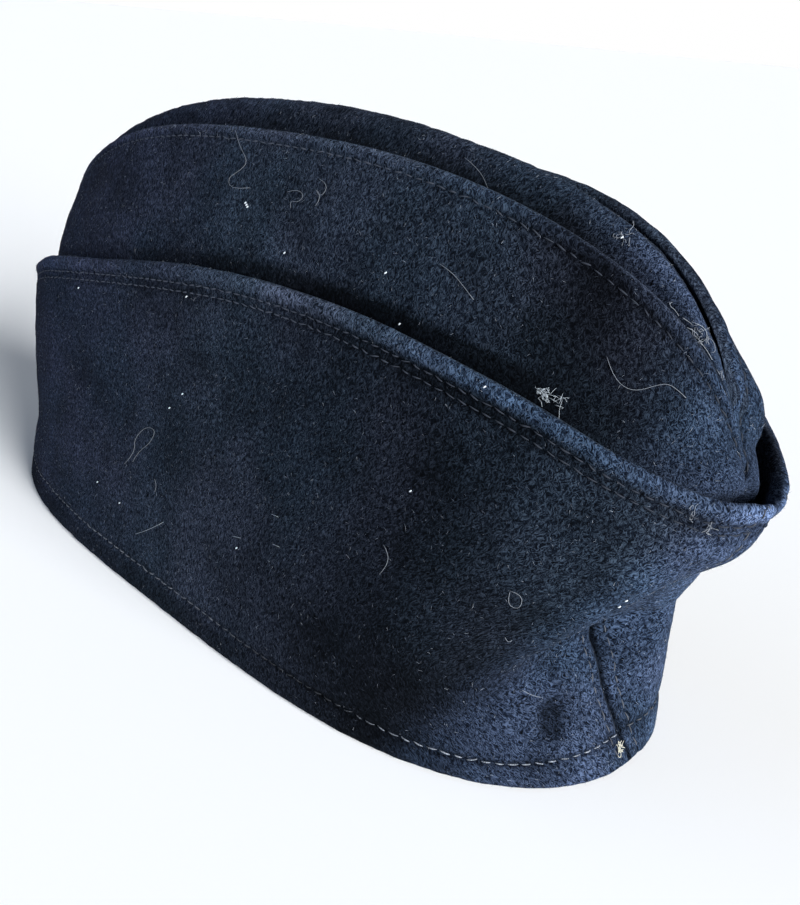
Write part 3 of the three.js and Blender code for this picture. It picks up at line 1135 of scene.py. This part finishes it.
# %% Make the wool uneven
patch_scale, patch_range = 55.0, (0.34, 0.66)
patch_dark, patch_light = 0.62, 1.42
pressed_and_shaded_dark, rubbed_and_lit_light = 0.14, 3.6
dye_scale, dye_tints = 26.0, ((0.94, 1.015, 1.02), (1.07, 0.985, 1.0))
blunt_tint, body_tint = (0.76, 0.79, 1.06), (0.95, 1.0, 1.06)
plain_tint, grey_tint = (1.0, 1.0, 1.0), (1.2, 1.03, 0.88)
nap_height = 0.35 * mm


def reading(tree, value, from_low, from_high, to_low, to_high):
    """A value read on one scale and given on another."""
    made = node(tree, "ShaderNodeMapRange", Value=value, From_Min=from_low, From_Max=from_high)
    made.inputs["To Min"].default_value = to_low
    made.inputs["To Max"].default_value = to_high
    return made.outputs[0]


def noise_at(tree, place, scale, detail, roughness=0.5):
    """A soft noise at a place of the object."""
    made = node(tree, "ShaderNodeTexNoise", Vector=place, Scale=scale, Detail=detail)
    made.inputs["Roughness"].default_value = roughness
    return made.outputs[0]


here = node(tree, "ShaderNodeTexCoord").outputs["Object"]
along = node(tree, "ShaderNodeSeparateXYZ", _0=here).outputs[0]
patches = noise_at(tree, here, patch_scale, 4.0, 0.65)
colour = times(tree, colour, reading(tree, patches, *patch_range, patch_dark, patch_light))
# Painted shade and painted light: darker for pressed nap and painted shade, paler for wear and painted
# light.
colour = times(tree, colour, reading(tree, pressed, 0.0, 1.0, 1.0, pressed_and_shaded_dark))
colour = times(tree, colour, reading(tree, rubbed, 1.0, 2.0, 1.0, rubbed_and_lit_light))
uneven = noise_at(tree, here, dye_scale, 2.0)
dye = mixed(tree, reading(tree, uneven, 0.4, 0.6, 0.0, 1.0), *dye_tints)
blue_end = mixed(tree, reading(tree, along, -0.1, 0.0, 0.0, 1.0), blunt_tint, body_tint)
grey_share = sums(tree, "MULTIPLY", rubbed, reading(tree, along, 0.05, 0.09, 1.0, 0.0))
grey_hem = mixed(tree, grey_share, plain_tint, grey_tint)
for tint in (dye, blue_end, grey_hem):
    colour = vectors(tree, "MULTIPLY", colour, tint)
tree.links.new(colour, wool_shader.inputs["Base Color"])
nap_bump = node(tree, "ShaderNodeBump", Strength=0.9, Distance=nap_height)
tree.links.new(matted.outputs["Height"], nap_bump.inputs["Height"])
tree.links.new(nap_bump.outputs[0], wool_shader.inputs["Normal"])
wool_finish = {
    "Roughness": 0.95,
    "Specular IOR Level": 0.02,
    "Sheen Weight": 0.012,
    "Sheen Roughness": 0.5,
    "Sheen Tint": (0.6, 0.75, 1.0, 1),
}
for socket, value in wool_finish.items():
    wool_shader.inputs[socket].default_value = value
for piece in pieces.values():
    piece.data.materials.append(wool)
print(wool.name, len(tree.nodes), "nodes on", len(pieces), "pieces")

# %% [markdown]
# ## Loose hairs
#
# The pattern alone leaves the outline sharp, and wool's isn't. Hairs that stand out of the mat are
# real: one short bent hair, pointed at both ends, is spread over the cloth by Geometry
# Nodes, thicker where the cloth is rubbed. A particle system would do it too, but its hairs can't
# be kept as a mesh with its own map.

# %% Shape one hair
hair_length = 1.7 * mm
hair_radius = 0.028 * mm


def one_hair():
    bm = bmesh.new()
    bmesh.ops.create_uvsphere(bm, u_segments=3, v_segments=2, radius=1.0)
    bmesh.ops.rotate(bm, verts=bm.verts, matrix=Matrix.Rotation(math.pi / 2, 3, "Y"))
    bmesh.ops.scale(bm, verts=bm.verts, vec=(hair_length / 2, hair_radius, hair_radius))
    for vert in bm.verts:
        vert.co.y -= 0.2 * abs(vert.co.x)
    return object_of("one hair", bm, smooth=True)


hair = one_hair()
print("one hair", len(hair.data.polygons), "faces", len(hair.data.vertices), "corners")

# %% [markdown]
# ## Spreading the hairs
#
# The points could be thrown in Python, but Distribute Points on Faces reads the cloth's own values
# of paleness, darkness and sight, and keeps a hair's turn to the surface. So a small tree of
# Geometry Nodes does it for each cloth: hairs stand thick where it is painted pale, for wear and
# painted light alike, thin where it is painted dark, for pressed nap and painted shade alike, and
# there are none where nobody can see.

# %% Spread the hairs
least_turn, most_turn = (-0.35, -0.35, -math.pi), (0.35, 0.55, math.pi)
least_size, most_size = 0.45, 1.25


def geometry_tree(name):
    """An empty tree, with the socket that the cloth comes in by and the one the hairs leave by."""
    tree = bpy.data.node_groups.new(name, "GeometryNodeTree")
    for way in ("INPUT", "OUTPUT"):
        tree.interface.new_socket("Geometry", in_out=way, socket_type="NodeSocketGeometry")
    cloth_in = tree.nodes.new("NodeGroupInput").outputs[0]
    return tree, cloth_in, tree.nodes.new("NodeGroupOutput").inputs[0]


def spread_tree(density, seed):
    """Nodes that put hairs on a cloth, at most `density` of them on a square metre."""
    tree, cloth_in, hairs_out = geometry_tree("spread hairs")
    rubbed, pressed, shown = (
        node(tree, "GeometryNodeInputNamedAttribute", {"data_type": "FLOAT"}, Name=key).outputs[0]
        for key in ("rubbed", "pressed", "shown")
    )
    fuller = sums(tree, "MULTIPLY_ADD", rubbed, 0.55, 0.45)
    free = sums(tree, "MAXIMUM", sums(tree, "MULTIPLY_ADD", pressed, -0.75, 1.0), 0.0)
    share = sums(tree, "MULTIPLY", sums(tree, "MULTIPLY", fuller, free), shown)
    on_cloth = node(
        tree, "GeometryNodeDistributePointsOnFaces", {"distribute_method": "RANDOM"},
        Mesh=cloth_in, Density=sums(tree, "MULTIPLY", share, density), Seed=seed,
    )
    about = node(
        tree, "FunctionNodeRandomValue", {"data_type": "FLOAT_VECTOR"},
        _0=least_turn, _1=most_turn, Seed=seed,
    )
    turn = node(tree, "FunctionNodeEulerToRotation", _0=about.outputs[0])
    turned = node(
        tree, "FunctionNodeRotateRotation", {"rotation_space": "LOCAL"},
        _0=on_cloth.outputs["Rotation"], _1=turn.outputs[0],
    )
    size = node(
        tree, "FunctionNodeRandomValue", {"data_type": "FLOAT"},
        _2=least_size, _3=most_size, Seed=seed + 1,
    )
    source = node(tree, "GeometryNodeObjectInfo", _0=hair)
    placed = node(
        tree, "GeometryNodeInstanceOnPoints", Points=on_cloth.outputs["Points"],
        Instance=source.outputs["Geometry"], Rotation=turned.outputs[0], Scale=size.outputs[1],
    )
    real = node(tree, "GeometryNodeRealizeInstances", _0=placed.outputs[0])
    tree.links.new(real.outputs[0], hairs_out)
    return tree


# %% [markdown]
# ## From nodes to a mesh
#
# The hairs are taken off the cloth as a mesh of their own, which exports as it is, and the
# modifier goes again. Every hair gets its own cell of the map and its own number, "shade".

# %% Keep the hairs
def hairs_of(name, density, seed):
    """The loose hairs of one cloth, as a mesh of its own."""
    modifier = pieces[name].modifiers.new("hairs", "NODES")
    modifier.node_group = spread_tree(density, seed)
    bpy.context.view_layer.update()
    found = pieces[name].evaluated_get(bpy.context.evaluated_depsgraph_get())
    mesh = bpy.data.meshes.new_from_object(found)
    pieces[name].modifiers.remove(modifier)
    mesh.name = name + "_nap"
    mesh.materials.clear()
    per_hair = len(hair.data.polygons)
    count = len(mesh.polygons) // per_hair
    while mesh.uv_layers:
        mesh.uv_layers.remove(mesh.uv_layers[0])
    map_in_cells(mesh, per_hair)
    for key in ("rubbed", "pressed", "shown"):
        if key in mesh.attributes:
            mesh.attributes.remove(mesh.attributes[key])
    shade = np.repeat(np.random.default_rng(seed).random(count), len(hair.data.vertices))
    shades = mesh.attributes.new("shade", "FLOAT", "POINT")
    shades.data.foreach_set("value", shade.astype(np.float32))
    piece = bpy.data.objects.new(mesh.name, mesh)
    scene.collection.objects.link(piece)
    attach(piece, "root")
    print(piece.name, count, "hairs")
    return piece


per_square_mm = 1e6
hair_densities = {
    "cuff_near_side": 1.5,
    "cuff_far_side": 0.7,
    "crown_near_side": 1.5,
    "crown_far_side": 0.7,
    "crown_top_insert": 1.6,
}
naps = {
    name: hairs_of(name, density * per_square_mm, seed)
    for seed, (name, density) in enumerate(hair_densities.items())
}
bpy.data.objects.remove(hair)

# %% [markdown]
# ## Colours of the loose hairs
#
# Most loose hairs are as dark as the cloth and only a few are bleached pale. Each hair carries one
# random number, "shade", and a ramp turns it into that hair's colour. A separate material for
# every colour would do the same with far more work.

# %% Colour the hairs
def matt_material(name, colour, roughness, gloss=0.5):
    """A material for threads and hairs, with its tree and the socket for a patterned colour."""
    material, shader = shader_material(name)
    shader.inputs["Base Color"].default_value = (*colour, 1)
    shader.inputs["Roughness"].default_value = roughness
    shader.inputs["Specular IOR Level"].default_value = gloss
    return material, material.node_tree, shader.inputs["Base Color"]


strand_colours = (
    (0.0, (0.004, 0.006, 0.010)),
    (0.5, (0.022, 0.028, 0.042)),
    (0.85, (0.09, 0.105, 0.14)),
    (1.0, (0.32, 0.35, 0.40)),
)
hair_material, tree, hair_base = matt_material("loose wool hair", strand_colours[0][1], 0.8, 0.03)
tree.links.new(ramp(tree, named_value(tree, "shade"), *strand_colours), hair_base)
for piece in naps.values():
    piece.data.materials.append(hair_material)
print(hair_material.name, "on", len(naps), "pieces")

# %% [markdown]
# ## Lint and loose thread
#
# Dark wool shows every bit of lint, and each bit lies where the picture has it. Its place could
# be typed in, but it is easier found: a line of sight from the camera through that point of the
# picture meets the cloth, and gives the direction out of it too. So a thread drawn just over that
# place lies on the wool, seen from any side.

# %% Find places on the cloth
near_pieces = ["cuff_near_side", "crown_near_side", "crown_top_insert"]
finished = bpy.context.evaluated_depsgraph_get()
cloth_trees = [BVHTree.FromObject(pieces[name], finished) for name in near_pieces]


def on_cloth(right, down):
    """The place on the cloth that shows at a point of the picture, and the direction out of it."""
    across = right - picture_width / 2 - axis_right_pixels
    upward = picture_height / 2 - axis_up_pixels - down
    ray = (sight * focal_pixels + camera_right * across + camera_up * upward).normalized()
    hits = [tree.ray_cast(camera_place, ray) for tree in cloth_trees]
    hits = [hit for hit in hits if hit[0] is not None]
    place, out, *_ = min(hits, key=lambda hit: hit[3])
    return place, out if out.dot(ray) < 0 else -out


print("picture's middle shows", [round(c, 3) for c in on_cloth(400, 450)[0]])

# %% [markdown]
# ## A thread through any places
#
# A curve with a round bevel draws a thread with the fewest words. It is made a mesh at once, its
# ends are closed, and each face gets its own cell of the map.

# %% Draw threads
def threads_piece(name, lines, radius):
    """Thin round threads through lists of places, in one mesh."""
    curve = bpy.data.curves.new(name, "CURVE")
    curve.dimensions = "3D"
    curve.bevel_depth = radius
    curve.bevel_resolution = 0
    curve.resolution_u = 3
    for line in lines:
        spline = curve.splines.new("NURBS")
        spline.points.add(len(line) - 1)
        spline.points.foreach_set("co", [value for place in line for value in (*place, 1)])
        spline.order_u = 3
        spline.use_endpoint_u = True
    drawn = bpy.data.objects.new(name, curve)
    scene.collection.objects.link(drawn)
    bpy.context.view_layer.update()
    finished = drawn.evaluated_get(bpy.context.evaluated_depsgraph_get())
    mesh = bpy.data.meshes.new_from_object(finished)
    bpy.data.objects.remove(drawn)
    bm = bmesh.new()
    bm.from_mesh(mesh)
    bmesh.ops.remove_doubles(bm, verts=bm.verts, dist=1e-7)
    bmesh.ops.holes_fill(bm, edges=[edge for edge in bm.edges if edge.is_boundary], sides=0)
    bmesh.ops.recalc_face_normals(bm, faces=bm.faces)
    piece = object_of(name, bm, smooth=True)
    while piece.data.uv_layers:
        piece.data.uv_layers.remove(piece.data.uv_layers[0])
    map_in_cells(piece.data, 1)
    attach(piece, "root")
    print(name, len(piece.data.polygons), "faces")
    return piece


# %% [markdown]
# ## Where the lint is
#
# Every thread here is a list of points of the picture, right and down, so each lies where the
# real one does. Hairs thrown at random would look as natural, but not like this cap.

# %% Point out the lint
fine_lint = [
    [(236, 131), (239, 145), (249, 162), (240, 171), (228, 178), (231, 190), (250, 188)],
    [(288, 192), (298, 189), (305, 196), (298, 203), (290, 200), (291, 208)],
    [(320, 179), (328, 184), (325, 194), (319, 196), (316, 188), (322, 198), (316, 206)],
    [(440, 264), (452, 272), (462, 284), (474, 300)],
    [(465, 158), (478, 168), (488, 186), (497, 214)],
    [(125, 464), (136, 452), (134, 440), (146, 426), (157, 430), (150, 444), (138, 452), (133, 462)],
    [(155, 479), (158, 486), (155, 492)],
    [(607, 357), (612, 374), (624, 388), (638, 391), (654, 386), (668, 383), (680, 392), (686, 398)],
    [(508, 590), (524, 594), (520, 610), (506, 604), (510, 592)],
    [(505, 637), (508, 644), (512, 640)],
    [(522, 690), (532, 696), (540, 697)],
    [(384, 545), (390, 555), (386, 568), (380, 574)],
    [(620, 232), (626, 238), (622, 246)],
]
pale_lint = [
    [(136, 534), (150, 530), (164, 522)],
    [(233, 536), (241, 538)],
    [(272, 514), (279, 517)],
    [(273, 544), (280, 547)],
    [(692, 322), (704, 326), (708, 338), (700, 344), (694, 336)],
    [(698, 340), (706, 348), (712, 360)],
]
lint_specks = [
    (246, 203), (247, 205), (248, 207), (285, 253), (386, 273), (98, 482), (120, 503), (183, 394),
    (237, 548), (400, 324), (485, 387), (622, 238), (626, 600), (619, 606), (411, 491), (170, 408),
    (79, 288), (187, 297),
]
print(len(fine_lint), "fine threads,", len(pale_lint), "pale ones,", len(lint_specks), "specks")

# %% [markdown]
# ## Laying and throwing the lint
#
# The tuft on the hem, the tangles at the pointed end and the white knot at the foot of the seam
# are too fine to follow thread by thread. They are thrown, with a fixed seed, about one point
# each. A speck is a very short thick thread, bent over the cloth.

# %% Lay the lint
lint_lift = 0.16 * mm
speck_half = 0.28 * mm
# A point of the picture, how many threads, how far they spread in millimetres, and the seed.
tuft_tangles = [((543, 393), 26, 0.9, 3), ((556, 399), 9, 1.5, 4)]
end_tangles = [
    ((700, 340), 12, 1.6, 5), ((624, 238), 7, 1.2, 6), ((712, 524), 5, 2.0, 9),
    ((690, 514), 4, 1.6, 10), ((720, 380), 3, 2.0, 12), ((676, 316), 4, 2.2, 13),
]
knot_tangles = [((619, 748), 16, 0.8, 8)]


def laid(lines):
    """The lines of picture points, laid on the cloth."""
    found = [[on_cloth(*point) for point in line] for line in lines]
    return [[place + out * lint_lift for place, out in line] for line in found]


def thrown(tangles):
    """Short curled threads thrown about points of the picture."""
    lines = []
    for middle, count, spread, seed in tangles:
        draw = np.random.default_rng(seed)
        spread = spread * mm
        place, out = on_cloth(*middle)
        side = out.orthogonal().normalized()
        other = out.cross(side)
        for _ in range(count):
            start = draw.normal(0, 0.35 * spread, 2)
            turns = draw.normal(0, 0.45 * spread, (5, 2)).cumsum(axis=0) + start
            heights = np.abs(draw.normal(0, 0.3 * spread, 5)) + 0.1 * mm
            bits = zip(turns, heights)
            lines.append([place + side * a + other * b + out * c for (a, b), c in bits])
    return lines


def speck(right, down):
    """One bit of fluff, bent over the cloth."""
    place, out = on_cloth(right, down)
    side = out.orthogonal().normalized() * speck_half
    low, high = out * lint_lift, out * 2 * lint_lift
    return [place - side + low, place + high, place + side + low]


lint_kinds = {
    "fine_lint": (laid(fine_lint) + thrown(end_tangles), 0.055, (0.13, 0.145, 0.17)),
    "pale_lint": (laid(pale_lint) + thrown(tuft_tangles), 0.035, (0.32, 0.36, 0.40)),
    "lint_specks": ([speck(*point) for point in lint_specks], 0.17, (0.5, 0.54, 0.58)),
    "thread_knot": (thrown(knot_tangles), 0.075, (0.42, 0.41, 0.34)),
}
for name, (lines, radius, colour) in lint_kinds.items():
    piece = threads_piece(name, lines, radius * mm)
    piece.data.materials.append(matt_material(name.replace("_", " "), colour, 0.85)[0])

# %% [markdown]
# ## The thread's colours
#
# Three threads were used. The dark one is the cloth's own navy and a little faded to the left. The
# grey one runs beside the end seams. The pale one at the foot is worn: it is bright near the
# pointed end, dull further left, and fluffy all along, so its brightness is read from where it lies.

# %% Give the thread its colours
thread_colours = {
    "dark": (0.018, 0.021, 0.028), "grey": (0.055, 0.060, 0.072), "pale": (0.060, 0.066, 0.078),
}
fluff_scale = 3300.0
thread_materials = {}
for thread, colour in thread_colours.items():
    thread_materials[thread], tree, base = matt_material(thread + " thread", colour, 0.8, 0.05)
    if thread == "grey":
        continue
    here = node(tree, "ShaderNodeTexCoord").outputs["Object"]
    along, across, _ = node(tree, "ShaderNodeSeparateXYZ", _0=here).outputs
    if thread == "dark":
        faded = reading(tree, along, 0.02, 0.09, 2.6, 1.2)
        tree.links.new(times(tree, colour, faded), base)
    if thread == "pale":
        dull_part = reading(tree, along, 0.0, 0.045, 1.4, 0.35)
        bright_part = reading(tree, along, 0.065, 0.095, 0.0, 2.0)
        fluff = reading(tree, noise_at(tree, here, fluff_scale, 2.0), 0.35, 0.65, 0.4, 1.6)
        worn = sums(tree, "MULTIPLY", sums(tree, "ADD", dull_part, bright_part), fluff)
        worn = sums(tree, "MULTIPLY", worn, reading(tree, across, 0.0, 0.004, 1.0, 0.3))
        tree.links.new(times(tree, colour, worn), base)
for sewn_on in threads.values():
    for piece in sewn_on:
        used = next(thread for thread in thread_colours if thread in piece.name)
        piece.data.materials.append(thread_materials[used])
print("threads", list(thread_materials))

# %% [markdown]
# ## The cloth's cuts
# #
# Each wool piece is a sheet that was cut flat and is held folded. The table lists for each piece
# a name for its cut, its flat size and area, measured over the solid's outer face, and the pieces
# that it rests on; the loop below only goes over each piece's stitches and loose hairs.

cuts = {
    "cuff_near_side": ("cuff_wool", (0.096, 0.300), 0.0256, ["crown_near_side_wool"]),
    "cuff_far_side": ("cuff_wool", (0.096, 0.305), 0.0262, ["crown_far_side_wool"]),
    "crown_near_side": ("crown_wool", (0.135, 0.280), 0.0321, ["cuff_near_side_wool"]),
    "crown_far_side": ("crown_wool", (0.135, 0.285), 0.0323, ["cuff_far_side_wool"]),
    "crown_top_insert": (
        "insert_wool", (0.034, 0.310), 0.0085, ["crown_near_side_wool", "crown_far_side_wool"]
    ),
}
for name, (slot, flat, area, rests_on) in cuts.items():
    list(threads[name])
    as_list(rests_on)
    for piece in (*threads[name], naps[name]):
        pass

bpy.context.view_layer.update()
